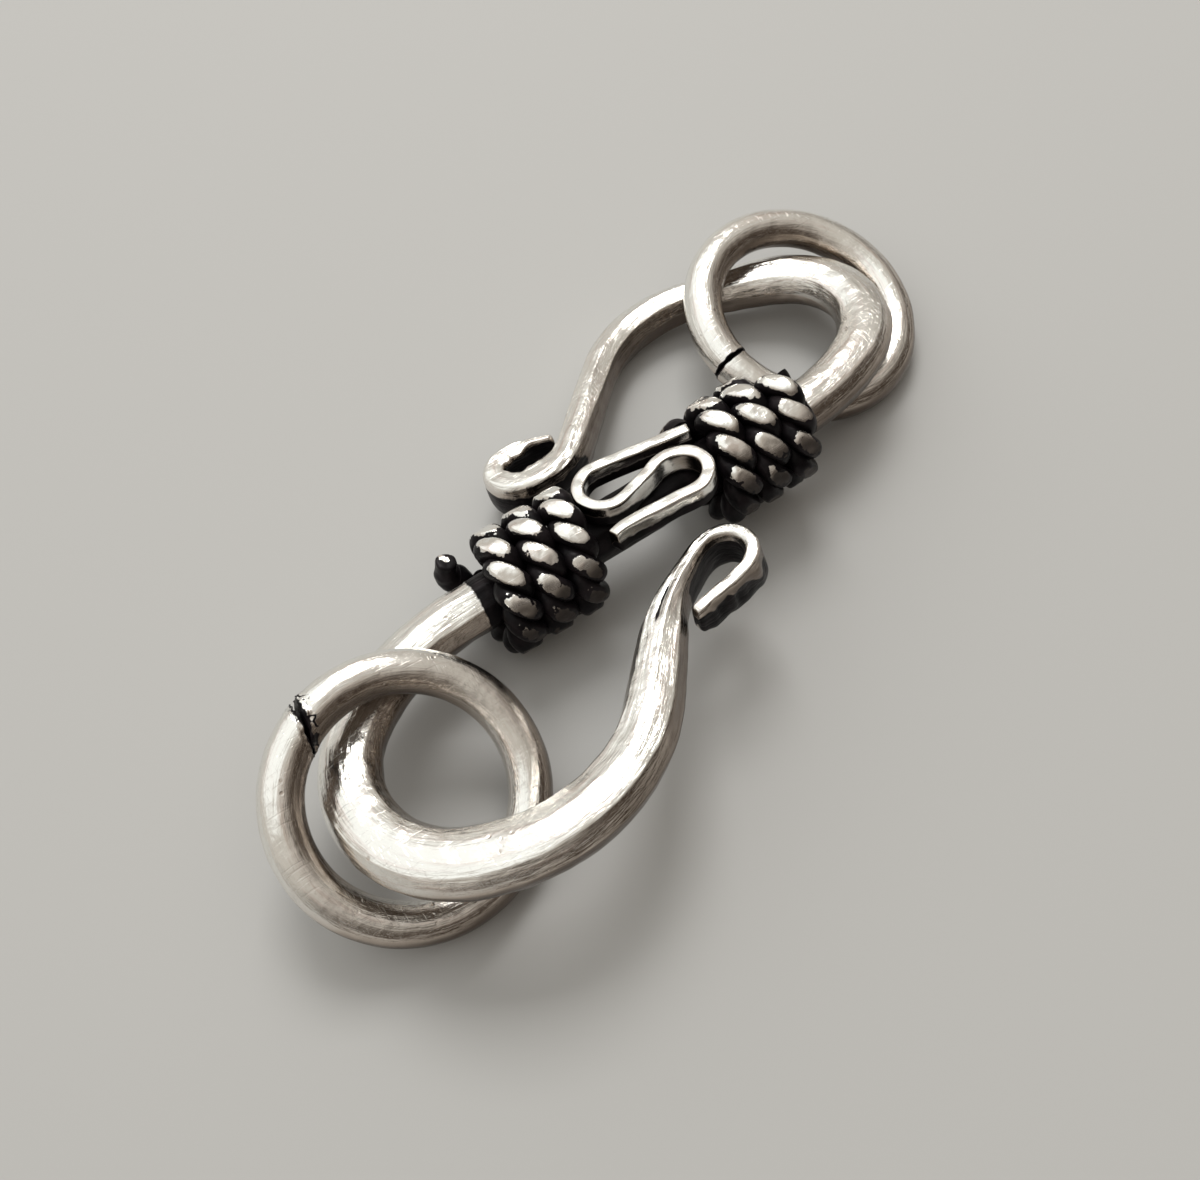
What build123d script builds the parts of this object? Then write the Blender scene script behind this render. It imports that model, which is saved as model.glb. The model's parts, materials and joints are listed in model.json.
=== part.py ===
"""An S-hook clasp for a necklace, with a jump ring linked on each bow.

One heavy wire is bent into an S and forged: its bows are hammered a little flat, and its two
tips are drawn out into thin strips on edge that curl outward.  Two ropes, each twisted from a
pair of wires, are wound round the straight spine, and a serpentine ribbon of flat wire stands
on edge between them.  Each jump ring is round wire bent to a circle and left with a saw cut.

The S is drawn in its own plane: x runs along the spine, y towards the upper free leg.  It is
then leaned into the pose in which it rests on a table, propped on its rings.
"""
from build123d import *
from math import ceil, cos, degrees, pi, radians, sin
import os

# The S wire, in millimetres and degrees.
SPINE_WIDTH = 2.15
HAMMERED_FLATS = 16         # sides of the forged section
STATION_TURN = 20.0         # degrees of bend from one forged section to the next
STATION_RUN = 2.2           # and the longest straight run between two sections

# Bend tables of the two halves of the S, from the middle of the spine out to the tip.
# Each row is one step: a straight run (angle 0) by its length, or a bend by its radius and
# angle, then the wire's width, height and squareness at the end of that step.
UPPER_BENDS = [
    (6.8, 0.0, 2.15, 2.1, 2.0),
    (8.7, 29.0, 2.30, 1.95, 2.1),
    (3.6, 127.0, 2.20, 1.85, 2.2),
    (2.7, 0.0, 1.65, 1.75, 2.2),
    (5.3, 69.5, 1.50, 1.80, 2.3),
    (4.7, 0.0, 1.40, 1.90, 2.6),
    (2.4, -70.5, 0.76, 1.90, 3.4),
    (1.1, -151.5, 0.56, 1.70, 4.0),
    (2.5, -26.5, 0.42, 1.60, 4.0),
    (0.9, 0.0, 0.36, 1.50, 4.0),
]
LOWER_BENDS = [
    (8.2, 0.0, 2.15, 2.1, 2.0),
    (8.1, 39.5, 2.30, 1.95, 2.1),
    (4.5, 120.0, 2.50, 1.85, 2.2),
    (0.6, 0.0, 2.45, 1.95, 2.2),
    (6.0, 70.5, 2.15, 1.95, 2.3),
    (3.4, 0.0, 1.65, 1.90, 2.6),
    (3.3, -20.0, 0.95, 1.95, 3.0),
    (2.2, 0.0, 0.60, 1.90, 3.6),
    (1.1, -203.0, 0.50, 1.70, 4.0),
    (2.3, 0.0, 0.50, 1.30, 4.0),
]

# The ropes: two wires twisted left-handed, wound left-handed round the spine.
ROPE_WIRE = 0.70            # diameter of each wire
ROPE_LEAD = 1.38            # advance along the spine for one turn of rope
WRAP_MIDDLE = 4.87          # from the middle of the S to the middle of a wrap
WIRE_SIDES = 6
SECTIONS_PER_TWIST = 6
WIRE_OFFSET = 0.375         # from the rope's middle to each wire's middle
SOLDER_GAP = 0.02           # between the ropes and the spine

# Where each rope starts and ends, as angles round the spine from the +y side, its bead count
# per turn, and the angle of one bead.
UPPER_ROPE = (-285.0, 750.0, 10.5, 113.3)
LOWER_ROPE = (-330.0, 700.0, 11.0, 121.0)
MIDDLE_ANGLE = 120.0        # the angle at which a rope passes the middle of its wrap
# The free end of one lower rope wire, which is left standing up beside the spine.
TAIL_POINTS = [(-7.50, 2.00, -0.50), (-7.82, 1.98, -0.15), (-7.80, 1.90, 0.40), (-7.67, 1.80, 1.05)]

# The serpentine ribbon between the wraps.
RIBBON_THICKNESS = 0.40
RIBBON_HEIGHT = 0.95
RIBBON_FOOT = 1.07          # height of its lower edge above the spine's axis
RIBBON_START = (2.6, 0.5, 168.5)     # x, y and heading
RIBBON_BENDS = [(3.8, 0.0), (1.06, 211.0), (1.9, 0.0), (1.08, -206.0), (2.4, 0.0), (2.2, 26.0)]

# The jump rings: wire, middle radius, and where each lies when the clasp is at rest.
RING_WIRE = 1.6
RING_FLATS = 14             # sides that stand for the round wire
RING_RADIUS = 4.3
UPPER_SAW_CUT = 0.06
LOWER_SAW_CUT = 0.20
LOWER_RING_CENTRE = (-13.29, -5.20, 2.75)
LOWER_RING_NORMAL = (0.129, -0.436, 0.891)
LOWER_SEAM_ANGLE = 118.6
UPPER_RING_CENTRE = (10.98, 4.72, 1.94)
UPPER_RING_NORMAL = (0.146, -0.239, 0.960)
UPPER_SEAM_ANGLE = -169.5

# The S at rest: height of the middle of the spine, lift of its upper end, and lean.
SPINE_HEIGHT = 2.775
REST_LIFT = 2.58
REST_LEAN = -13.0


def forged_section(plane, width, height, squareness):
    """The wire's many-sided outline: oval when squareness is 2, nearer a flat bar above that."""
    corners = []
    for k in range(HAMMERED_FLATS):
        angle = 2 * pi * (k + 0.5) / HAMMERED_FLATS
        across = abs(cos(angle)) ** (2 / squareness) * (1 if cos(angle) > 0 else -1)
        up = abs(sin(angle)) ** (2 / squareness) * (1 if sin(angle) > 0 else -1)
        corners.append(plane.from_local_coords(Vector(width / 2 * across, height / 2 * up, 0)))
    return Face(Wire.make_polygon(corners))


def bend_stations(bends, start_size):
    """Follow a bend table, and give (x, y, heading, size) at each forged section."""
    x, y, heading = 0.0, 0.0, 0.0
    size = start_size
    stations = [(x, y, heading, size)]
    for amount, angle, *end_size in bends:
        if angle:
            steps = ceil(abs(angle) / STATION_TURN)
            chord = 2 * amount * sin(radians(abs(angle) / steps) / 2)
        else:
            steps = ceil(amount / STATION_RUN)
            chord = amount / steps
        turn = angle / steps
        for k in range(1, steps + 1):
            x += chord * cos(radians(heading + turn / 2))
            y += chord * sin(radians(heading + turn / 2))
            heading += turn
            now = [a + (b - a) * k / steps for a, b in zip(size, end_size)]
            stations.append((x, y, heading, now))
        size = end_size
    return stations


def half_sections(bends, side):
    """Forged sections of one half of the S; side is 1 for the upper half, -1 for the lower."""
    sections = []
    for x, y, heading, size in bend_stations(bends, (SPINE_WIDTH, SPINE_WIDTH, 2.0)):
        along = Vector(cos(radians(heading)), sin(radians(heading)), 0)
        plane = Plane((side * x, side * y, 0), x_dir=(-along.Y, along.X, 0), z_dir=along)
        sections.append(forged_section(plane, *size))
    return sections


def s_hook():
    """The whole S as one forged wire, from the lower tip to the upper one."""
    lower = half_sections(LOWER_BENDS, -1)
    upper = half_sections(UPPER_BENDS, 1)
    return loft(list(reversed(lower[1:])) + upper, ruled=True)


def rope_frame(angle, middle):
    """Centre of the rope at an angle round the spine, with its outward, forward and side axes."""
    radius = SPINE_WIDTH / 2 + SOLDER_GAP + WIRE_OFFSET + ROPE_WIRE / 2
    turn = radians(angle)
    x = middle - ROPE_LEAD * (angle - MIDDLE_ANGLE) / 360
    outward = Vector(0, cos(turn), sin(turn))
    forward = Vector(-ROPE_LEAD / (2 * pi), -radius * sin(turn), radius * cos(turn)).normalized()
    return Vector(x, 0, 0) + outward * radius, outward, forward, forward.cross(outward)


def wire_centre(angle, middle, beads, bead_angle, half_twist):
    """Centre of one wire of the rope, and the direction in which it stands off the rope's middle."""
    centre, outward, _, side = rope_frame(angle, middle)
    twist = radians(half_twist - (angle - bead_angle) * beads / 2)
    off = outward * cos(twist) + side * sin(twist)
    return centre + off * WIRE_OFFSET, off


def wire_corners(centre, along, towards):
    """Corners of the wire's six-sided section, the first one facing away from the rope's middle."""
    plane = Plane(centre, x_dir=towards - along * towards.dot(along), z_dir=along)
    corners = []
    for k in range(WIRE_SIDES):
        turn = 2 * pi * k / WIRE_SIDES
        corner = Vector(cos(turn), sin(turn), 0) * (ROPE_WIRE / 2)
        corners.append(plane.from_local_coords(corner))
    return corners


def flat_facet(*corners):
    return Face(Wire.make_polygon(corners))


def skinned_wire(rings):
    """A solid from rings of corners, with two flat facets for each side between two rings."""
    facets = [flat_facet(*reversed(rings[0])), flat_facet(*rings[-1])]
    for near, far in zip(rings, rings[1:]):
        for k in range(WIRE_SIDES):
            nxt = (k + 1) % WIRE_SIDES
            facets.append(flat_facet(near[k], near[nxt], far[nxt]))
            facets.append(flat_facet(near[k], far[nxt], far[k]))
    return Solid(Shell(facets))


def rope_wire(rope, middle, half_twist, tail=()):
    """One wire of a wrap's rope, half_twist 0 or 180, and the free end that runs on from it."""
    first, last, beads, bead_angle = rope
    count = round((last - first) * beads / 720 * SECTIONS_PER_TWIST)
    rings = []
    for k in range(count + 1):
        angle = first + (last - first) * k / count
        centre, off = wire_centre(angle, middle, beads, bead_angle, half_twist)
        before, _ = wire_centre(angle - 1, middle, beads, bead_angle, half_twist)
        after, _ = wire_centre(angle + 1, middle, beads, bead_angle, half_twist)
        rings.append(wire_corners(centre, (after - before).normalized(), off))
    points = [centre] + [Vector(*point) for point in tail]
    for before, point, after in zip(points, points[1:], points[2:] + points[-1:]):
        rings.append(wire_corners(point, (after - before).normalized(), off))
    return skinned_wire(rings)


def scroll_ribbon():
    """Flat wire on edge, bent to and fro along the top of the spine."""
    x, y, heading = RIBBON_START
    pieces = []
    place = Vector(x, y, RIBBON_FOOT)
    for amount, angle in RIBBON_BENDS:
        along = Vector(cos(radians(heading)), sin(radians(heading)), 0)
        if angle:
            pieces.append(JernArc(place, along, amount, angle))
        else:
            pieces.append(Line(place, place + along * amount))
        heading += angle
        place = pieces[-1] @ 1
    path = Wire(pieces)
    start = Plane(path @ 0, x_dir=(0, 0, 1), z_dir=path % 0)
    section = start * Pos(RIBBON_HEIGHT / 2, 0) * Rectangle(RIBBON_HEIGHT, RIBBON_THICKNESS)
    return sweep(section, path=path)


def jump_ring(centre, normal, seam_angle, cut):
    """Round wire bent to a circle, its ends a saw cut apart at the seam."""
    flat_x, flat_y = cos(radians(seam_angle)), sin(radians(seam_angle))
    rise = -(normal[0] * flat_x + normal[1] * flat_y) / normal[2]
    ring_plane = Plane(centre, x_dir=(flat_x, flat_y, rise), z_dir=normal)
    cut_angle = degrees(cut / RING_RADIUS)
    wire = Plane.XZ * Pos(RING_RADIUS, 0) * RegularPolygon(RING_WIRE / 2, RING_FLATS)
    return ring_plane * Rot(0, 0, cut_angle / 2) * revolve(wire, Axis.Z, 360 - cut_angle)


def lean_to_rest(shape):
    return Pos(0, 0, SPINE_HEIGHT) * Rot(0, -REST_LIFT, 0) * Rot(REST_LEAN, 0, 0) * shape


def clasp_parts():
    """Every piece of the clasp by name, where it lies at rest."""
    parts = {
        "s_hook": s_hook(),
        "scroll_ribbon": scroll_ribbon(),
        "upper_rope_wire_a": rope_wire(UPPER_ROPE, WRAP_MIDDLE, 0),
        "upper_rope_wire_b": rope_wire(UPPER_ROPE, WRAP_MIDDLE, 180),
        "lower_rope_wire_a": rope_wire(LOWER_ROPE, -WRAP_MIDDLE, 0, TAIL_POINTS),
        "lower_rope_wire_b": rope_wire(LOWER_ROPE, -WRAP_MIDDLE, 180),
    }
    parts = {name: lean_to_rest(shape) for name, shape in parts.items()}
    parts["upper_ring"] = jump_ring(
        UPPER_RING_CENTRE, UPPER_RING_NORMAL, UPPER_SEAM_ANGLE, UPPER_SAW_CUT
    )
    parts["lower_ring"] = jump_ring(
        LOWER_RING_CENTRE, LOWER_RING_NORMAL, LOWER_SEAM_ANGLE, LOWER_SAW_CUT
    )
    return parts


def centre_on_table(parts):
    """Move everything so that the origin is under the middle of the clasp, on the table."""
    box = Compound(children=[Part(shape.wrapped) for shape in parts.values()]).bounding_box()
    middle = box.center()
    shift = Pos(-middle.X, -middle.Y, -box.min.Z)
    return {name: shift * shape for name, shape in parts.items()}


os.makedirs("parts", exist_ok=True)
for name, shape in centre_on_table(clasp_parts()).items():
    export_step(shape, f"parts/{name}.step")
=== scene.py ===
"""An S-hook clasp of forged silver, with its finish, on a plain table.

The sections below follow the clasp as it is put together: the forged S, the ropes wound on its
spine, the ribbon between them, the two jump rings, and last the table, the light and the camera.
"""
import json
from math import cos, exp, hypot, pi, radians, sin

import bmesh
import bpy
from mathutils import Matrix, Vector, noise


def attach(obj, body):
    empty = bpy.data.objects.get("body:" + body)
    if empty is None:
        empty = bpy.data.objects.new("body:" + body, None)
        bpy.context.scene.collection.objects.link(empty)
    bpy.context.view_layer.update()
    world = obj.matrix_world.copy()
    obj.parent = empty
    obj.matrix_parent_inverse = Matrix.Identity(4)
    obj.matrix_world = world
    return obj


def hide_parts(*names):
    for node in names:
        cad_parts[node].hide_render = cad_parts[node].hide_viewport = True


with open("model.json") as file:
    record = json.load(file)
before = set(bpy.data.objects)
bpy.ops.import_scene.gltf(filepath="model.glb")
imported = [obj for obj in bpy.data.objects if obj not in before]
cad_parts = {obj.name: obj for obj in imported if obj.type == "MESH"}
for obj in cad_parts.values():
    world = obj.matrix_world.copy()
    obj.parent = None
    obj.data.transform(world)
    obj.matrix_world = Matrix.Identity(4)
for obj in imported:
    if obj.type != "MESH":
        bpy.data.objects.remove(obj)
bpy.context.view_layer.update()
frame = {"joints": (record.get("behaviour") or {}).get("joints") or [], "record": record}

# --------------------------------------------------------------------------------------------
# The forged S.  One heavy silver wire, hammered on an anvil until its round section shows long
# flats, bent into two bows, and drawn out at both tips into thin strips on edge that curl out.
# It is drawn in its own plane, in millimetres, and then leaned into its place in the frame.

MM = 0.001
mounts = {mount["name"]: mount for mount in frame["record"]["mounts"]}
throats = [Vector(mounts[name]["pos_m"]) for name in ("upper_hook_throat", "lower_hook_throat")]
spine_middle = (throats[0] + throats[1]) / 2
spine_along = Vector(frame["joints"][0]["axis"]).normalized()
spine_up = Vector(mounts["upper_hook_throat"]["axis"]).normalized()
spine_side = spine_up.cross(spine_along)
spine_frame = Matrix.Translation(spine_middle) @ Matrix(
    (spine_along, spine_side, spine_up)
).transposed().to_4x4() @ Matrix.Scale(MM, 4)

# Each row is one step: a straight run (angle 0) by its length, or a bend by its radius and
# angle, then the wire's width, height, squareness and how strongly it is faceted at its end.
SPINE_SIZE = (2.15, 2.15, 2.0, 0.35)
UPPER_BENDS = [
    (6.8, 0.0, 2.15, 2.10, 2.0, 0.35),
    (8.7, 29.0, 2.30, 1.95, 2.1, 0.40),
    (3.6, 127.0, 2.20, 1.85, 2.2, 0.50),
    (2.7, 0.0, 1.65, 1.75, 2.2, 0.85),
    (5.3, 69.5, 1.50, 1.80, 2.3, 1.00),
    (4.7, 0.0, 1.40, 1.90, 2.6, 1.00),
    (2.4, -70.5, 0.84, 1.90, 3.4, 0.30),
    (1.1, -151.5, 0.66, 1.70, 4.0, 0.0),
    (2.5, -26.5, 0.48, 1.60, 4.0, 0.0),
    (0.9, 0.0, 0.34, 1.50, 4.0, 0.0),
]
LOWER_BENDS = [
    (8.2, 0.0, 2.15, 2.10, 2.0, 0.80),
    (8.1, 39.5, 2.30, 1.95, 2.1, 0.50),
    (4.5, 120.0, 2.50, 1.88, 2.2, 0.35),
    (0.6, 0.0, 2.45, 1.95, 2.2, 0.50),
    (6.0, 70.5, 2.15, 1.95, 2.3, 0.95),
    (3.4, 0.0, 1.72, 1.92, 2.5, 1.10),
    (3.3, -20.0, 1.00, 1.95, 3.0, 0.80),
    (2.2, 0.0, 0.62, 1.90, 3.6, 0.30),
    (1.1, -203.0, 0.64, 1.70, 4.5, 0.0),
    (2.3, 0.0, 0.54, 1.30, 4.5, 0.0),
]
STATION = 0.11              # millimetres from one section of the wire to the next
EASE = 8                    # stations over which a bend starts and stops
FLATS = 8                   # long hammered flats round the wire
FLAT_POINTS = (-0.5, -0.43, -0.33, -0.17, 0.0, 0.17, 0.33, 0.43)
DENT = 0.036                # the depth of the hammer's dents, and their size
DENT_SIZE = 0.95
STRIPS = (-36.0, 31.0)      # where the two thin strips begin, as lengths along the wire
CURLS = (-38.2, 33.2)       # and where their curls do
FOLD = (-36.4, -33.7)       # the fold beside the shoulder, where the lower strip was drawn out
FOLD_TURN = 101.0           # where it runs, as an angle round the section
FOLD_DEPTH = 0.11
FLUTE_DEPTH = 0.20          # of the hammer's flutes down the outside of the lower curl
LIP = 0.30                  # how far hammering spread the rim of the upper curl inwards
LIP_END = (39.6, 40.4)      # where that lip runs out, before the tip
BLACK_MIDDLE = -0.15        # the middle of the blackened stretch of spine between the wraps,
BLACK_REACH = (7.1, 7.8)    # and how far from it the black runs out
LIT_SIDE = Vector((-0.35, 0.50, 0.79))   # the side the light falls from; faces turned away from it get painted shade


def follow_bends(bends, start_size):
    """Walk a bend table in small steps, and give (x, y, heading, size) at each."""
    x, y, heading, size = 0.0, 0.0, 0.0, start_size
    stations = [(x, y, heading, size)]
    for amount, angle, *end_size in bends:
        length = amount * abs(radians(angle)) if angle else amount
        steps = max(2, round(length / STATION))
        for k in range(1, steps + 1):
            x += length / steps * cos(radians(heading + angle / steps / 2))
            y += length / steps * sin(radians(heading + angle / steps / 2))
            heading += angle / steps
            now = tuple(a + (b - a) * k / steps for a, b in zip(size, end_size))
            stations.append((x, y, heading, now))
        size = tuple(end_size)
    return stations


def ease(values, reach):
    """A running mean that leaves both ends where they are."""
    eased = []
    for k in range(len(values)):
        near = min(reach, k, len(values) - 1 - k)
        window = values[k - near:k + near + 1]
        eased.append(sum(window[1:], window[0].copy()) / len(window))
    return eased


def step_up(value, low, high):
    """0 below low, 1 above high, and a smooth step from one to the other."""
    share = min(1.0, max(0.0, (value - low) / (high - low)))
    return share * share * (3 - 2 * share)


def wobble(scale, *place):
    """Smooth noise from -1 to 1, its waves about as long as the scale."""
    return noise.noise(Vector(place) / scale)


def squared(turn, size):
    """A point on the wire's plain section: oval at squareness 2, nearer a flat bar above that."""
    power = 2 / size[2]
    across = abs(cos(turn)) ** power * (1 if cos(turn) > 0 else -1) * size[0] / 2
    up = abs(sin(turn)) ** power * (1 if sin(turn) > 0 else -1) * size[1] / 2
    return across, up


def flat_corner(number, along):
    """The angle of one ridge between two flats, which wanders a little along the wire."""
    number %= FLATS
    lean = 0.35 * wobble(9.0, along, 7.3, 1.9) + 0.16 * wobble(4.0, along, number * 5.3, 0.7)
    return 2 * pi * number / FLATS + lean


def hammered_section(size, along):
    """The (across, up, turn) points of one section, with flats beaten on it."""
    points = []
    for number in range(FLATS):
        start, end = flat_corner(number, along), flat_corner(number + 1, along)
        if number == FLATS - 1:
            end += 2 * pi
        half = (end - start) / 2
        depth = size[3] * (0.85 + 0.6 * wobble(5.0, along, number * 3.7, 5.1))
        for step in FLAT_POINTS:
            turn = (start + end) / 2 + step * 2 * half
            across, up = squared(turn, size)
            beaten = 1 - depth * (1 - cos(half) / cos(step * 2 * half))
            points.append((across * beaten, up * beaten, turn))
    return points


def flutes(along, up):
    """The hammer's flutes down the outside of the lower curl, from -1 to 1."""
    return wobble(0.40, along, up * 0.4, 3.0)


def fold_depth(turn, along):
    """How deep the fold is here, where the lower strip was drawn out of its thick leg."""
    line = (turn - radians(FOLD_TURN + 5 * wobble(0.8, along, 0.2, 0.4))) / 0.075
    length = step_up(along, FOLD[0], FOLD[0] + 0.5) * (1 - step_up(along, FOLD[1] - 0.9, FOLD[1]))
    return exp(-line * line) * length


def worked(across, up, turn, along):
    """Dents, lumps and wavering edges, pushed into one point of the section."""
    reach = hypot(across, up)
    cell = noise.voronoi(Vector((along, across * 1.3, up * 1.3)) / DENT_SIZE)[0][0]
    strip = step_up(along, STRIPS[1], STRIPS[1] + 1.5)
    strip += 1 - step_up(along, STRIPS[0] - 1.5, STRIPS[0])
    push = DENT * (1 - strip) * (cell - 0.55)
    push += 0.012 * wobble(0.5, along, across * 2, up * 2)
    push += strip * 0.035 * wobble(0.55, along, across * 3, up)
    outer_flank = step_up(-cos(turn), 0.2, 0.7) * (1 - step_up(along, CURLS[0] - 0.6, CURLS[0]))
    push += outer_flank * (1 - step_up(up, 0.35, 0.75)) * FLUTE_DEPTH * flutes(along, up)
    push -= FOLD_DEPTH * fold_depth(turn, along)
    rim = step_up(up, 0.15, 0.60) * step_up(-cos(turn), 0.0, 0.4)
    rim *= step_up(along, CURLS[1], CURLS[1] + 1.5) * (1 - step_up(along, *LIP_END))
    spread = LIP * rim * (1 + 0.5 * wobble(0.6, along, 2.0, 9.0))
    return across * (1 + push / reach) - spread, up * (1 + push / reach)


def skin(name, rings, closing_steps, closing_bulge):
    """A closed mesh from rings of (point, wire place, oxide), its two ends rounded over."""
    count = len(rings[0])
    corners = [[corner[0] for corner in ring] for ring in rings]
    notes = [[corner[1:] for corner in ring] for ring in rings]
    for _ in range(2):
        corners.reverse()
        notes.reverse()
        last, before = corners[-1], corners[-2]
        middle = sum(last, Vector()) / count
        outward = (middle - sum(before, Vector()) / count).normalized()
        for k in range(1, closing_steps + 1):
            turn = pi / 2 * k / closing_steps
            small = 1 - (1 - cos(turn)) * 0.45
            bulge = outward * closing_bulge * sin(turn)
            corners.append([middle + (point - middle) * small + bulge for point in last])
            notes.append(notes[-1])
    points = [point for ring in corners for point in ring]
    notes = [note for ring in notes for note in ring]
    faces = []
    for near in range(0, len(points) - count, count):
        for j in range(count):
            nxt = (j + 1) % count
            faces.append((near + j, near + nxt, near + count + nxt, near + count + j))
    for start, flip in ((0, True), (len(points) - count, False)):
        middle = len(points)
        points.append(sum(points[start:start + count], Vector()) / count)
        notes.append(notes[start])
        for j in range(count):
            a, b = start + j, start + (j + 1) % count
            faces.append((b, a, middle) if flip else (a, b, middle))
    mesh = bpy.data.meshes.new(name)
    mesh.from_pydata([tuple(point) for point in points], [], faces)
    wire = mesh.attributes.new("wire", "FLOAT_VECTOR", "POINT")
    wire.data.foreach_set("vector", [value for note in notes for value in note[0]])
    oxide = mesh.attributes.new("oxide", "FLOAT", "POINT")
    oxide.data.foreach_set("value", [note[1] for note in notes])
    return mesh


def spine_black(turn, up, along):
    """1 where the surface is black: the oxide left between the wraps and in the fold, and the lower
    part of the strips' and curls' flanks.
    """
    spine = 1 - step_up(abs(along - BLACK_MIDDLE), *BLACK_REACH)
    drawn_out = 1 - step_up(along, FOLD[0] - 0.2, FOLD[0] + 1.0)
    lower_curl = 1 - step_up(along, CURLS[0] - 1.0, CURLS[0])
    upper_curl = step_up(along, CURLS[1] - 0.6, CURLS[1] + 0.4)
    # the strips and curls are made black on the lower part of their flanks, inside and out
    inside = drawn_out * step_up(cos(turn), 0.0, 0.6) * (1 - step_up(up, 0.25, 0.75))
    inside += upper_curl * step_up(-cos(turn), 0.0, 0.6) * (1 - step_up(up, 0.35, 0.80))
    outside = upper_curl * step_up(cos(turn), 0.0, 0.6) * (1 - step_up(up, -0.10, 0.80))
    height = up + 0.35 * max(0.0, flutes(along, up)) + 0.30 * wobble(0.45, along, up, 3.0)
    outside += lower_curl * step_up(-cos(turn), 0.0, 0.6) * (1 - step_up(height, -0.02, 0.53))
    return max(spine, inside, outside, fold_depth(turn, along))


def forged_s():
    """The S, one closed skin from the tip of the lower hook to the tip of the upper one."""
    stations = []
    for bends, side in ((LOWER_BENDS, -1), (UPPER_BENDS, 1)):
        walk = follow_bends(bends, SPINE_SIZE)
        places = ease([Vector((side * x, side * y, 0)) for x, y, _, _ in walk], EASE)
        sizes = ease([Vector(step[3]) for step in walk], EASE)
        half = [(place, size, side * k * STATION)
                for k, (place, size) in enumerate(zip(places, sizes))]
        stations = half[:0:-1] if side < 0 else stations + half
    rings = []
    for k, (place, size, along) in enumerate(stations):
        after = stations[min(k + 1, len(stations) - 1)][0]
        before = stations[max(k - 1, 0)][0]
        ahead = (after - before).normalized()
        aside = Vector((-ahead.y, ahead.x, 0))
        ring = []
        for across, up, turn in hammered_section(size, along):
            across, up = worked(across, up, turn, along)
            point = place + aside * across + Vector((0, 0, up))
            ring.append((point, (along, across, up), spine_black(turn, up, along)))
        rings.append(ring)
    return skin("forged_s", rings, 5, 0.20)


def finished(name, mesh, place, silver, lit_side=LIT_SIDE):
    """Move a mesh drawn in millimetres to its place, and note how far it faces the light, for
    painted shade.
    """
    mesh.transform(place)
    mesh.shade_smooth()
    mesh.update()
    # facing: how far each point turns towards the light; the finish paints shade where it is low
    facing = mesh.attributes.new("facing", "FLOAT", "POINT")
    facing.data.foreach_set("value", [vertex.normal.dot(lit_side) for vertex in mesh.vertices])
    mesh.materials.clear()
    mesh.materials.append(silver)
    piece = bpy.data.objects.new(name, mesh)
    bpy.context.collection.objects.link(piece)
    return piece


class Sum:
    """A node's output with plain arithmetic on it; every operation adds one Math node."""

    def __init__(self, tree, socket):
        self.tree = tree
        self.socket = socket

    def math(self, operation, *others):
        node = self.tree.nodes.new("ShaderNodeMath")
        node.operation = operation
        for socket, value in zip(node.inputs, (self,) + others):
            plug(self.tree, value, socket)
        return Sum(self.tree, node.outputs[0])

    def __add__(self, other):
        return self.math("ADD", other)

    def __sub__(self, other):
        return self.math("SUBTRACT", other)

    def __mul__(self, other):
        return self.math("MULTIPLY", other)

    def __truediv__(self, other):
        return self.math("DIVIDE", other)

    def __rsub__(self, other):
        return (self * -1) + other

    __radd__ = __add__
    __rmul__ = __mul__

    def between(self, low, high):
        """0 below low, 1 above high, and a smooth step from one to the other."""
        node = self.tree.nodes.new("ShaderNodeMapRange")
        node.interpolation_type = "SMOOTHSTEP"
        plug(self.tree, self, node.inputs[0])
        node.inputs[1].default_value = low
        node.inputs[2].default_value = high
        return Sum(self.tree, node.outputs[0])


def plug(tree, value, socket):
    """Link a value that comes from a node, or set one that doesn't."""
    if isinstance(value, Sum):
        tree.links.new(value.socket, socket)
    else:
        socket.default_value = value


def add_node(tree, kind, settings=None, output=0, **values):
    """Add a node, set it up, fill its sockets by name, and give one of its outputs."""
    node = tree.nodes.new(kind)
    for key, value in (settings or {}).items():
        setattr(node, key, value)
    for key, value in values.items():
        name = key.replace("_", " ")
        matches = [socket for socket in node.inputs if socket.name == name and socket.enabled]
        plug(tree, value, matches[0])
    return Sum(tree, node.outputs[output]) if node.outputs else None


def mixed(tree, share, one, other):
    """One colour turning into another as share goes from 0 to 1."""
    node = tree.nodes.new("ShaderNodeMix")
    node.data_type = "RGBA"
    for socket, value in zip((node.inputs[0], node.inputs[6], node.inputs[7]), (share, one, other)):
        plug(tree, value, socket)
    return Sum(tree, node.outputs[2])


def colour(red, green, blue):
    return (red, green, blue, 1.0)


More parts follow.
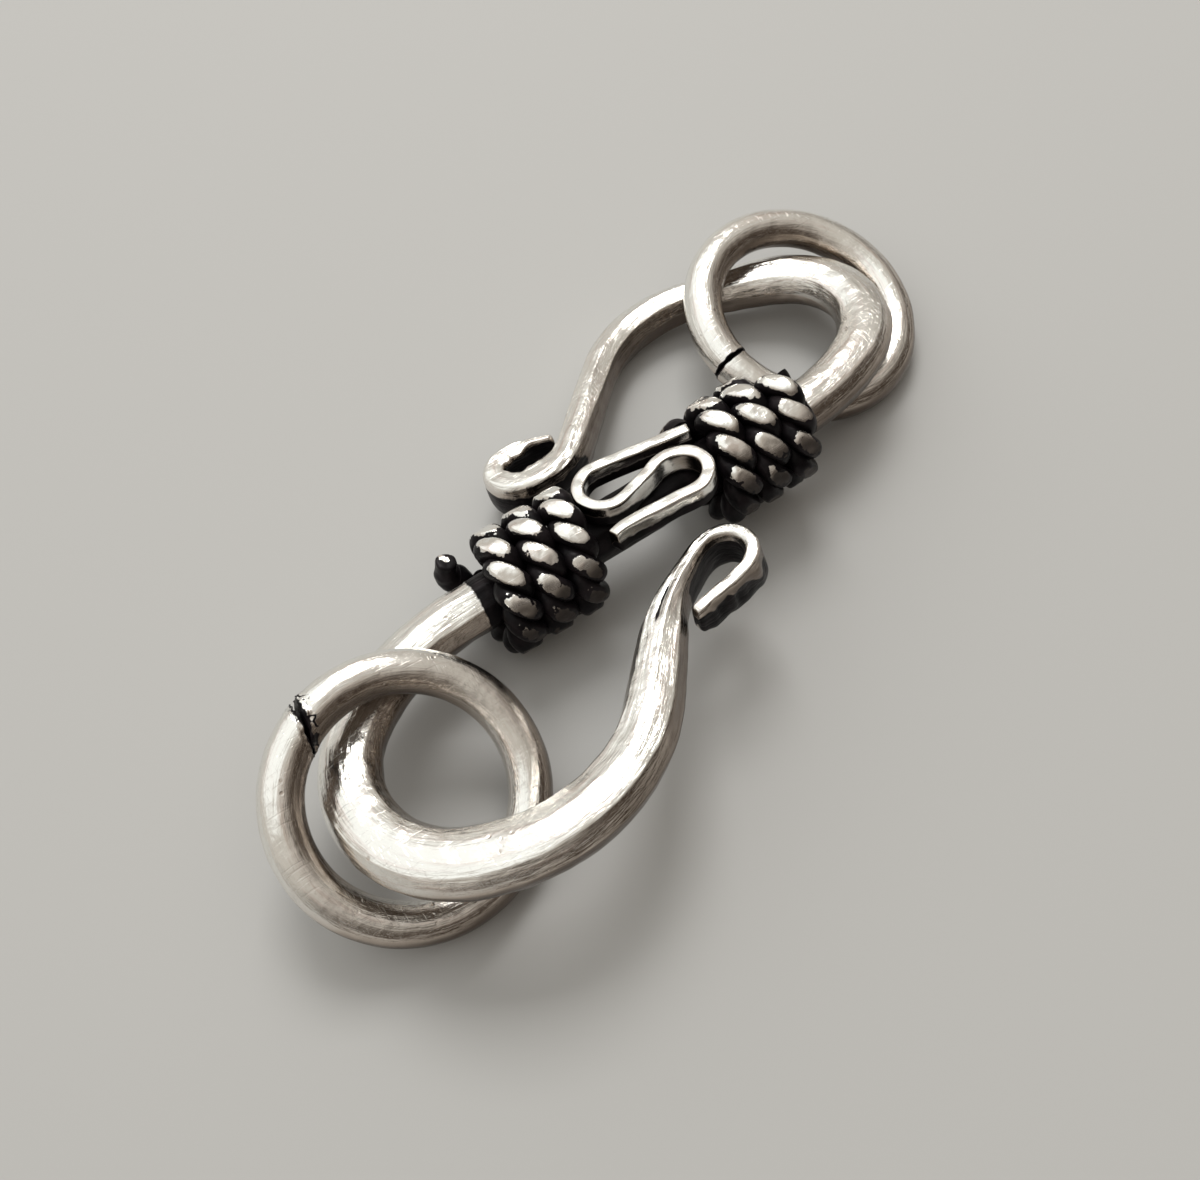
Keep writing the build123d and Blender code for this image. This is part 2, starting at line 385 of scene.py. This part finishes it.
class Silver:
    """Worn, hand-polished silver: a material under way, with the patterns that all of it has."""

    CREAM = colour(0.965, 0.96, 0.92)
    BLUSH = colour(0.87, 0.80, 0.755)
    # UMBER colours pits, scratches and streaks and is also the first step of the painted shade; the
    # near-black after it is painted shade only
    UMBER = colour(0.61, 0.53, 0.46)
    SHADE_DARK = colour(0.12, 0.092, 0.075)
    SOOT = colour(0.006, 0.005, 0.006)
    ASH = colour(0.018, 0.014, 0.016)

    def __init__(self, name):
        self.material = bpy.data.materials.new(name)
        self.material.use_nodes = True
        self.tree = self.material.node_tree
        self.tree.nodes.clear()
        self.place = self.node("ShaderNodeTexCoord", output=3)
        self.bloom = self.noise(300, 3)
        self.mottle = self.noise(1500, 2)
        self.grain = self.noise(4200, 3)

    def node(self, kind, settings=None, output=0, **values):
        return add_node(self.tree, kind, settings, output, **values)

    def noise(self, scale, detail, stretch=None):
        place = self.place
        if stretch:
            place = self.node("ShaderNodeMapping", {}, Vector=place, Scale=stretch)
        return self.node("ShaderNodeTexNoise", {}, Vector=place, Scale=scale, Detail=detail)

    def attribute(self, name):
        return self.node("ShaderNodeAttribute", {"attribute_name": name}, output=2)

    def drawn_streaks(self):
        """Faint bands along the wire, which drawing and hammering leave in its colour and gloss."""
        wire = self.node("ShaderNodeAttribute", {"attribute_name": "wire"}, output=1)
        place = self.node("ShaderNodeMapping", {}, Vector=wire, Scale=(0.35, 3.4, 3.4))
        return self.node("ShaderNodeTexNoise", {}, Vector=place, Scale=1.0, Detail=5.0,
                         Roughness=0.6)

    def scratches(self):
        """Fine lines left by the polishing cloth, in two directions."""
        first = self.noise(900, 2, (1.0, 14.0, 3.0))
        second = self.noise(1100, 2, (16.0, 1.2, 4.0))
        return (first.between(0.60, 0.68) + second.between(0.61, 0.68)) * 0.5

    def pits(self):
        """Small round pits, in patches."""
        spots = self.node("ShaderNodeTexVoronoi", {}, Vector=self.place, Scale=2400.0)
        chosen = self.noise(800, 1).between(0.60, 0.70)
        return (1 - spots.between(0.10, 0.24)) * chosen

    def finish(self, oxide, streaks, bump):
        """Polished metal where oxide is 0, umber then near-black painted shade on the side turned
        from the light, and black where oxide is 1.
        """
        scratches, pits = self.scratches(), self.pits()
        # painted shade: how far each point faces the light, made ragged with noise
        facing = self.attribute("facing") + (self.bloom - 0.5) * 0.5 + (streaks - 0.5) * 0.4
        metal = mixed(self.tree, streaks.between(0.44, 0.68) * 0.7, self.CREAM, self.BLUSH)
        metal = mixed(self.tree, (pits + scratches * 0.2) * 0.7, metal, self.UMBER)
        metal = mixed(self.tree, streaks.between(0.60, 0.66) * 0.3, metal, self.UMBER)
        # painted shade: umber, then near-black, where the surface turns away from the light
        metal = mixed(self.tree, 1 - facing.between(0.0, 0.60), metal, self.UMBER)
        metal = mixed(self.tree, 0.9 - facing.between(-0.35, 0.25) * 0.9, metal, self.SHADE_DARK)
        black = mixed(self.tree, self.mottle.between(0.4, 0.7), self.SOOT, self.ASH)
        base = mixed(self.tree, oxide, metal, black)
        gloss = self.bloom * 0.06 + streaks * 0.12 + self.grain * 0.05 + scratches * 0.08 + 0.07
        rough = gloss * (1 - oxide) + oxide * 0.36
        height = self.mottle + self.grain * 0.22 + streaks * 1.5 - scratches * 0.15 - pits * 0.5
        lift = self.node("ShaderNodeBump", {}, Height=height, Strength=bump, Distance=0.00006)
        shader = self.node("ShaderNodeBsdfPrincipled", {}, Base_Color=base, Roughness=rough,
                           Metallic=1 - oxide * 0.85, Specular_IOR_Level=0.12, Normal=lift)
        self.node("ShaderNodeOutputMaterial", {}, Surface=shader)
        return self.material


def forged_silver():
    """Bright but for black: oxide between the wraps and in the fold, the curls' lower flanks, and
    painted shade from the finish.
    """
    silver = Silver("forged_silver")
    ragged = (silver.bloom - 0.5) * 0.7 + (silver.grain - 0.5) * 0.5
    oxide = (silver.attribute("oxide") + ragged).between(0.40, 0.56)
    return silver.finish(oxide, silver.drawn_streaks(), 0.60)


hook = finished("forged_s", forged_s(), spine_frame, forged_silver())
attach(hook, "clasp")
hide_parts("s_hook")

# --------------------------------------------------------------------------------------------
# The ropes.  Each is two round silver wires twisted together and wound about three times round
# the spine, soldered, blackened all over, and then rubbed bright on the crests of the twist.

ROPE_WIRE = 0.40            # radius of each wire, millimetres
WIRE_OFFSET = 0.36          # from the rope's middle to each wire's middle
ROPE_RADIUS = 1.82          # from the spine's axis to the rope's middle
ROPE_LEAD = 1.38            # advance along the spine for one turn of rope
WORN_REACH = 2.43           # the crests are rubbed down to about this distance from the axis,
WORN_WAVER = 0.20           # which wavers by this much
BRIGHT_REACH = 2.355        # and the black ends at about this distance
ROPE_SECTIONS_PER_TURN = 260
ROPE_PROFILE_POINTS = 28
NIPPED_SECTIONS = 8         # sections over which a nipped end rounds off


def rope_tree(material):
    """Geometry nodes that make one wire of a rope from its named sizes."""
    tree = bpy.data.node_groups.new("rope_wire", "GeometryNodeTree")
    tree.interface.new_socket("Geometry", in_out="OUTPUT", socket_type="NodeSocketGeometry")
    for name in ("First Angle", "Last Angle", "Beads", "Bead Angle", "Half Twist", "Middle",
                 "Sections"):
        kind = "NodeSocketInt" if name == "Sections" else "NodeSocketFloat"
        tree.interface.new_socket(name, in_out="INPUT", socket_type=kind)
    entry = tree.nodes.new("NodeGroupInput")
    size = {socket.name: Sum(tree, socket) for socket in entry.outputs if socket.name}

    line = add_node(tree, "GeometryNodeCurvePrimitiveLine")
    line = add_node(tree, "GeometryNodeResampleCurve", {}, Curve=line, Count=size["Sections"])
    share = add_node(tree, "GeometryNodeSplineParameter")
    angle = size["First Angle"] + (size["Last Angle"] - size["First Angle"]) * share
    turn = angle * (pi / 180)
    twist = (size["Half Twist"] - (angle - size["Bead Angle"]) * size["Beads"] / 2) * (pi / 180)
    wander = add_node(tree, "ShaderNodeTexNoise", {"noise_dimensions": "1D"}, W=angle * 0.011,
                      Scale=1.0)
    out = twist.math("COSINE") * WIRE_OFFSET
    slope = ROPE_LEAD / (2 * pi * ROPE_RADIUS)
    side = twist.math("SINE") * WIRE_OFFSET
    reach = out + ROPE_RADIUS + (wander - 0.5) * 0.05
    x = size["Middle"] - (angle - 120.0) * (ROPE_LEAD / 360) - side + (wander - 0.5) * 0.06
    swing = turn - side * (slope / ROPE_RADIUS)
    y = reach * swing.math("COSINE")
    z = reach * swing.math("SINE")
    place = add_node(tree, "ShaderNodeCombineXYZ", {}, X=x, Y=y, Z=z)
    path = add_node(tree, "GeometryNodeSetPosition", {}, Geometry=line, Position=place)
    from_end = share.math("MINIMUM", 1 - share) * size["Sections"] / NIPPED_SECTIONS
    nipped = 1 - from_end.math("MINIMUM", 1.0)
    thick = (1 - nipped * nipped).math("SQRT") * 0.55 + 0.45
    path = add_node(tree, "GeometryNodeSetCurveRadius", {}, Curve=path, Radius=thick)
    profile = add_node(tree, "GeometryNodeCurvePrimitiveCircle", {}, Resolution=ROPE_PROFILE_POINTS,
                       Radius=ROPE_WIRE)
    wire = add_node(tree, "GeometryNodeCurveToMesh", {}, Curve=path, Profile_Curve=profile,
                    Fill_Caps=True)

    spot = add_node(tree, "GeometryNodeInputPosition")
    split = add_node(tree, "ShaderNodeSeparateXYZ", {}, Vector=spot).socket.node
    px, py, pz = (Sum(tree, socket) for socket in split.outputs)
    lump = add_node(tree, "ShaderNodeTexNoise", {}, Vector=spot, Scale=1.25, Detail=1.0)
    distance = (py * py + pz * pz).math("SQRT")
    limit = WORN_REACH + (lump - 0.5) * WORN_WAVER
    over = (distance - limit).math("MAXIMUM", 0.0)
    rubbed = (distance - over * 0.88) / distance
    rubbed_place = add_node(tree, "ShaderNodeCombineXYZ", {}, X=px, Y=py * rubbed, Z=pz * rubbed)
    crest = (distance - (lump - 0.5) * WORN_WAVER - BRIGHT_REACH) / 0.24
    stored = add_node(tree, "GeometryNodeStoreNamedAttribute",
                      {"data_type": "FLOAT", "domain": "POINT"},
                      Geometry=wire, Name="oxide", Value=0.5 - crest)
    shaped = add_node(tree, "GeometryNodeSetPosition", {}, Geometry=stored, Position=rubbed_place)
    real = add_node(tree, "GeometryNodeRealizeInstances", {}, Geometry=shaped)
    done = add_node(tree, "GeometryNodeSetMaterial", {}, Geometry=real, Material=material)
    end = tree.nodes.new("NodeGroupOutput")
    tree.links.new(done.socket, end.inputs[0])
    return tree


def made_by(tree, name, values):
    """The plain mesh that a geometry tree gives for named input values."""
    seed = bpy.data.objects.new(name, bpy.data.meshes.new(name))
    bpy.context.collection.objects.link(seed)
    modifier = seed.modifiers.new("made", "NODES")
    modifier.node_group = tree
    for item in tree.interface.items_tree:
        if item.in_out == "INPUT" and item.name in values:
            modifier[item.identifier] = values[item.name]
    graph = bpy.context.evaluated_depsgraph_get()
    mesh = bpy.data.meshes.new_from_object(seed.evaluated_get(graph))
    seed.modifiers.remove(modifier)
    bpy.data.objects.remove(seed)
    return mesh


# The free end of one wire of the lower rope, nipped off and left standing beside the spine:
# points on its middle line, each with the wire's radius there.
TAIL_LINE = [
    (-7.38, 1.80, -0.95, 0.40),
    (-7.40, 1.98, -0.45, 0.52),
    (-7.66, 2.06, -0.18, 0.58),
    (-7.86, 2.03, 0.12, 0.52),
    (-7.84, 1.93, 0.52, 0.43),
    (-7.68, 1.82, 1.02, 0.40),
]
TAIL_STEPS = 12
TAIL_POINTS = 28


def rope_tail():
    """The nipped end: a short bent stub, black all over but for a touch on its rim."""
    line = [Vector(point) for point in TAIL_LINE]
    walk = [a.lerp(b, k / TAIL_STEPS) for a, b in zip(line, line[1:]) for k in range(TAIL_STEPS)]
    walk = ease(walk + line[-1:], 8)
    rings = []
    for k, spot in enumerate(walk):
        ahead = (walk[min(k + 1, len(walk) - 1)] - walk[max(k - 1, 0)]).to_3d().normalized()
        aside = ahead.cross(Vector((1, 0, 0))).normalized()
        ring = []
        for j in range(TAIL_POINTS):
            turn = 2 * pi * j / TAIL_POINTS
            around = aside * cos(turn) + ahead.cross(aside) * sin(turn)
            rough = spot.w * (1 + 0.10 * wobble(0.4, *(spot.to_3d() + around * 0.5)))
            rim = step_up(k, len(walk) - 5, len(walk)) * step_up(around.y, 0.3, 0.8)
            ring.append((spot.to_3d() + around * rough, tuple(spot)[:3], 0.95 - rim * 0.75))
        rings.append(ring)
    return skin("rope_tail", rings, 3, 0.05)


def joined(name, meshes):
    """One mesh from several, with their attributes."""
    both = bmesh.new()
    for mesh in meshes:
        both.from_mesh(mesh)
    whole = bpy.data.meshes.new(name)
    both.to_mesh(whole)
    both.free()
    return whole


def rope_silver():
    """Black oxide, with the crests rubbed through to bright silver, and crests turned away from the
    light painted dark as shade.
    """
    silver = Silver("rope_silver")
    ragged = (silver.bloom - 0.5) * 1.0 + (silver.mottle - 0.5) * 1.5 + (silver.grain - 0.5) * 1.6
    # painted shade: the crests turned away from the light go dark, folded into the oxide mask
    painted_shade = 1 - silver.attribute("facing").between(-0.10, 0.52)
    oxide = (silver.attribute("oxide") + ragged + painted_shade * 0.5).between(0.46, 0.54)
    return silver.finish(oxide.math("MAXIMUM", painted_shade * 0.8), silver.mottle, 0.4)


wire_tree = rope_tree(rope_silver())
# End, middle along the spine, first and last angle, beads in a turn, and the angle of one bead.
ropes = (
    ("upper", 4.87, -285.0, 750.0, 10.5, 113.3),
    ("lower", -4.87, -330.0, 700.0, 11.0, 121.0),
)
for end, middle, first, last, beads, bead_angle in ropes:
    wires = []
    for letter, half_twist in (("a", 0.0), ("b", 180.0)):
        wires.append(made_by(wire_tree, f"{end}_rope_{letter}", {
            "First Angle": first, "Last Angle": last, "Beads": beads, "Bead Angle": bead_angle,
            "Half Twist": half_twist, "Middle": middle,
            "Sections": round((last - first) / 360 * ROPE_SECTIONS_PER_TURN)}))
    if end == "lower":
        wires.append(rope_tail())
    rope = finished(f"{end}_rope", joined(f"{end}_rope", wires), spine_frame, wires[0].materials[0])
    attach(rope, "clasp")
    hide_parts(f"{end}_rope_wire_a", f"{end}_rope_wire_b")

# --------------------------------------------------------------------------------------------
# The ribbon.  Flat silver wire, bent to and fro on edge and soldered on top of the spine
# between the wraps; its upper edge is rubbed bright and oxide is left inside its loops.

RIBBON_SIZE = (0.54, 0.95, 6.0)     # thickness, height and squareness
RIBBON_FOOT = 1.07                  # its lower edge, above the spine's axis
RIBBON_START = (2.6, 0.5, 168.5)    # along, across and heading at its first end
RIBBON_BENDS = [(3.8, 0.0), (1.06, 211.0), (1.9, 0.0), (1.08, -206.0), (2.4, 0.0), (2.2, 26.0)]
RIBBON_POINTS = 48
RUBBED_FROM = 7.6                   # the length along it from where its outside is rubbed too
# the side the light falls from, for the ribbon's painted shade
RIBBON_LIT_SIDE = Vector((0.45, -0.30, 0.84))


def scroll_ribbon():
    """The ribbon on edge, its rim wavering a little as the pliers left it."""
    x0, y0, heading = RIBBON_START
    walk = follow_bends([row + RIBBON_SIZE for row in RIBBON_BENDS], RIBBON_SIZE)
    turned = Matrix.Rotation(radians(heading), 3, "Z")
    start = Vector((x0, y0, RIBBON_FOOT + RIBBON_SIZE[1] / 2))
    places = ease([start + turned @ Vector((x, y, 0)) for x, y, _, _ in walk], 3)
    rings = []
    for k, place in enumerate(places):
        along = k * STATION
        ahead = (places[min(k + 1, len(places) - 1)] - places[max(k - 1, 0)]).normalized()
        aside = Vector((-ahead.y, ahead.x, 0))
        outside = step_up(along, RUBBED_FROM, RUBBED_FROM + 1)
        ring = []
        for j in range(RIBBON_POINTS):
            turn = 2 * pi * j / RIBBON_POINTS
            across, up = squared(turn, RIBBON_SIZE)
            across *= 1 + 0.16 * wobble(0.7, along, 3.0, up)
            across += 0.035 * wobble(0.9, along, 8.0, 0.5)
            up += 0.035 * wobble(0.6, along, 5.0, across)
            rubbed = outside * step_up(-across, 0.05, 0.2) * 0.45
            oxide = 0.5 - (up + rubbed - 0.10) / 0.5
            ring.append((place + aside * across + Vector((0, 0, up)), (along, across, up), oxide))
        rings.append(ring)
    return skin("ribbon", rings, 3, 0.05)


def ribbon_silver():
    """Black in the loops and at the foot, bright on the upper edge and outside its last bend, with
    painted shade turned from the light.
    """
    silver = Silver("ribbon_silver")
    ragged = (silver.bloom - 0.5) * 1.2 + (silver.grain - 0.5) * 0.5
    oxide = (silver.attribute("oxide") + ragged).between(0.38, 0.62)
    return silver.finish(oxide, silver.drawn_streaks(), 0.25)


ribbon = finished("ribbon", scroll_ribbon(), spine_frame, ribbon_silver(), RIBBON_LIT_SIDE)
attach(ribbon, "clasp")
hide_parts("scroll_ribbon")

# --------------------------------------------------------------------------------------------
# The jump rings.  Round drawn wire coiled on a mandrel and cut through with nippers; the ends
# are pressed together and left unsoldered, so that the ring can be opened to link a chain.

RING_WIRE = 0.8             # radius of the wire, and of the ring at its middle line
RING_RADIUS = 4.3
RING_SECTIONS = 460
RING_PROFILE_POINTS = 64
SEAM_CROWDING = 0.9         # how strongly the sections crowd together towards the seam
NIPPED = 0.5                # length beside the seam that the nippers drew out of shape


def ring_tree(material):
    """Geometry nodes that make a ring nipped open on its +X side; the gap closes downwards."""
    tree = bpy.data.node_groups.new("jump_ring", "GeometryNodeTree")
    tree.interface.new_socket("Geometry", in_out="OUTPUT", socket_type="NodeSocketGeometry")
    for name in ("Cut", "Skew", "Offset", "Burrs", "Seed"):
        tree.interface.new_socket(name, in_out="INPUT", socket_type="NodeSocketFloat")
    entry = tree.nodes.new("NodeGroupInput")
    size = {socket.name: Sum(tree, socket) for socket in entry.outputs if socket.name}

    line = add_node(tree, "GeometryNodeCurvePrimitiveLine")
    line = add_node(tree, "GeometryNodeResampleCurve", {}, Curve=line, Count=RING_SECTIONS)
    share = add_node(tree, "GeometryNodeSplineParameter")
    turn = share * (2 * pi) - (share * (2 * pi)).math("SINE") * SEAM_CROWDING
    kept = add_node(tree, "GeometryNodeStoreNamedAttribute",
                    {"data_type": "FLOAT", "domain": "POINT"},
                    Geometry=line, Name="along", Value=turn * RING_RADIUS)
    place = add_node(tree, "ShaderNodeCombineXYZ", {}, X=turn.math("COSINE") * RING_RADIUS,
                     Y=turn.math("SINE") * RING_RADIUS, Z=(share - 0.5) * size["Offset"])
    path = add_node(tree, "GeometryNodeSetPosition", {}, Geometry=kept, Position=place)
    profile = add_node(tree, "GeometryNodeCurvePrimitiveCircle", {}, Resolution=RING_PROFILE_POINTS,
                       Radius=RING_WIRE)
    wire = add_node(tree, "GeometryNodeCurveToMesh", {}, Curve=path, Profile_Curve=profile,
                    Fill_Caps=True)

    spot = add_node(tree, "GeometryNodeInputPosition")
    split = add_node(tree, "ShaderNodeSeparateXYZ", {}, Vector=spot).socket.node
    x, y, z = (Sum(tree, socket) for socket in split.outputs)
    across = (x * x + y * y).math("SQRT") - RING_RADIUS
    along = add_node(tree, "GeometryNodeInputNamedAttribute", {"data_type": "FLOAT"}, Name="along")
    far_side = along.math("GREATER_THAN", pi * RING_RADIUS)
    seam = along - far_side * (2 * pi * RING_RADIUS)
    near = seam.math("ABSOLUTE")
    seeded = add_node(tree, "ShaderNodeVectorMath", {"operation": "ADD"}, Vector=spot)
    plug(tree, size["Seed"], seeded.socket.node.inputs[1])
    waves = add_node(tree, "ShaderNodeTexNoise", {}, Vector=seeded, Scale=0.6, Detail=2.0)
    teeth = add_node(tree, "ShaderNodeTexNoise", {}, Vector=seeded, Scale=3.2, Detail=2.0)

    mouth = ((across * 0.6 + z * 0.8) * (0.6 / RING_WIRE) + 0.50).math("MAXIMUM", 0.0)
    half_gap = size["Cut"] / 2 * mouth * (teeth * 4.0 - 1.1).math("MAXIMUM", 0.1)
    draw = (1 - near / NIPPED).math("MAXIMUM", 0.0)
    skewed = across * 0.5 - (across * -1).math("MAXIMUM", 0.0) * 0.5
    slid = skewed * size["Skew"] * (1 - near / 2.5).math("MAXIMUM", 0.0)
    part = (half_gap * draw * (1 - far_side * 2) - slid) / RING_RADIUS
    cosine, sine = part.math("COSINE"), part.math("SINE")
    parted = add_node(tree, "ShaderNodeCombineXYZ", {}, X=x * cosine - y * sine,
                      Y=x * sine + y * cosine, Z=z)
    opened = add_node(tree, "GeometryNodeSetPosition", {}, Geometry=wire, Position=parted)
    burrs = size["Burrs"] * draw * (teeth - 0.45)
    normal = add_node(tree, "GeometryNodeInputNormal")
    push = add_node(tree, "ShaderNodeVectorMath", {"operation": "SCALE"}, Vector=normal,
                    Scale=(waves - 0.5) * 0.06 + burrs)
    shaped = add_node(tree, "GeometryNodeSetPosition", {}, Geometry=opened, Offset=push)

    torn = size["Burrs"] * (1.4 + far_side * 2.0) * (1 - near / 0.8).math("MAXIMUM", 0.0)
    blackened = add_node(tree, "GeometryNodeStoreNamedAttribute",
                         {"data_type": "FLOAT", "domain": "POINT"},
                         Geometry=shaped, Name="torn", Value=torn)
    wire_place = add_node(tree, "ShaderNodeCombineXYZ", {}, X=along, Y=across, Z=z)
    marked = add_node(tree, "GeometryNodeStoreNamedAttribute",
                      {"data_type": "FLOAT_VECTOR", "domain": "POINT"},
                      Geometry=blackened, Name="wire", Value=wire_place)
    real = add_node(tree, "GeometryNodeRealizeInstances", {}, Geometry=marked)
    done = add_node(tree, "GeometryNodeSetMaterial", {}, Geometry=real, Material=material)
    end = tree.nodes.new("NodeGroupOutput")
    tree.links.new(done.socket, end.inputs[0])
    return tree


def ring_silver():
    """Bright, with black in the seam and in the tears beside it, and painted shade on the side
    turned from the light.
    """
    silver = Silver("ring_silver")
    wire = silver.node("ShaderNodeAttribute", {"attribute_name": "wire"}, output=1)
    along = silver.node("ShaderNodeSeparateXYZ", {}, Vector=wire)
    near = pi * RING_RADIUS - (along - pi * RING_RADIUS).math("ABSOLUTE")
    torn = silver.attribute("torn")
    cracks = 1 - (silver.mottle - 0.52).math("ABSOLUTE") * 14
    ragged = (silver.mottle - 0.5) * 0.5 + (silver.grain - 0.5) * 0.8
    seam = 1 - near * (11 - torn * 7).math("MAXIMUM", 5.0) + ragged
    oxide = seam.math("MAXIMUM", cracks + torn * 1.2 - 1.0)
    return silver.finish(oxide.between(0.40, 0.56), silver.drawn_streaks(), 0.55)


open_ring = ring_tree(ring_silver())
rings = (
    ("upper", -169.5, 0.10, 0.0, 0.08, 0.05, 3.0),
    ("lower", 118.6, 0.26, 1.0, 0.05, 0.40, 11.0),
)
for end, seam_angle, cut, skew, offset, burrs, seed in rings:
    mount = mounts[f"{end}_ring_eye"]
    normal = Vector(mount["axis"]).normalized()
    to_seam = Vector((cos(radians(seam_angle)), sin(radians(seam_angle)), 0))
    to_seam.z = -(normal.x * to_seam.x + normal.y * to_seam.y) / normal.z
    to_seam.normalize()
    ring_frame = Matrix.Translation(Vector(mount["pos_m"])) @ Matrix(
        (to_seam, normal.cross(to_seam), normal)
    ).transposed().to_4x4() @ Matrix.Scale(MM, 4)
    wire = made_by(open_ring, f"{end}_jump_ring",
                   {"Cut": cut, "Skew": skew, "Offset": offset, "Burrs": burrs, "Seed": seed})
    ring = finished(f"{end}_jump_ring", wire, ring_frame, wire.materials[0])
    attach(ring, f"{end}_ring")
    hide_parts(f"{end}_ring")

# --------------------------------------------------------------------------------------------
# The table, the light and the camera.  A plain pale sheet, a soft light from behind the clasp
# in a pale studio that darkens towards the camera, and a camera that looks down on the clasp.

TABLE = 0.5                 # half its width, in metres
table_mesh = bpy.data.meshes.new("table")
table_corners = [(-TABLE, -TABLE, 0), (TABLE, -TABLE, 0), (TABLE, TABLE, 0), (-TABLE, TABLE, 0)]
table_mesh.from_pydata(table_corners, [], [(0, 1, 2, 3)])
table = bpy.data.objects.new("table", table_mesh)
bpy.context.collection.objects.link(table)
paper = bpy.data.materials.new("pale_table")
paper.use_nodes = True
sheet = paper.node_tree.nodes["Principled BSDF"]
sheet.inputs["Base Color"].default_value = colour(0.55, 0.55, 0.54)
sheet.inputs["Roughness"].default_value = 0.7
table_mesh.materials.append(paper)

key_data = bpy.data.lights.new("key", "AREA")
key_data.shape = "RECTANGLE"
key_data.size, key_data.size_y = 0.15, 0.15
key_data.energy = 0.50
key_data.color = (1.0, 0.985, 0.96)
key = bpy.data.objects.new("key", key_data)
key.location = (0.0875, 0.1855, 0.287)
key.rotation_euler = (-key.location).to_track_quat("-Z", "Y").to_euler()
bpy.context.collection.objects.link(key)

world = bpy.data.worlds.new("studio")
bpy.context.scene.world = world
world.use_nodes = True
sky = world.node_tree
toward = add_node(sky, "ShaderNodeTexCoord", output=0)
split = add_node(sky, "ShaderNodeSeparateXYZ", {}, Vector=toward).socket.node
east, north, above = (Sum(sky, socket) for socket in split.outputs)
height = above * 0.75 + north * 0.45 - east * 0.25
wall = mixed(sky, height.between(-0.15, 0.50), colour(0.085, 0.07, 0.058),
             colour(0.53, 0.49, 0.44))
room = mixed(sky, height.between(0.58, 0.78), wall, colour(1.0, 1.0, 0.965))
sky.links.new(room.socket, sky.nodes["Background"].inputs["Color"])
sky.nodes["Background"].inputs["Strength"].default_value = 1.0

camera_data = bpy.data.cameras.new("camera")
camera_data.lens = 39.0
camera_data.sensor_width = 36.0
camera_data.clip_start = 0.001
camera = bpy.data.objects.new("camera", camera_data)
right = Vector((0.83935, -0.54122, -0.05082))
up = Vector((0.49485, 0.72204, 0.48351))
look = right.cross(up) * -1
turned = Matrix((right, up, -look)).transposed().to_4x4()
camera.matrix_world = Matrix.Translation((-0.013182, -0.022203, 0.044893)) @ turned
bpy.context.collection.objects.link(camera)
bpy.context.scene.camera = camera
bpy.context.scene.view_settings.view_transform = "Standard"
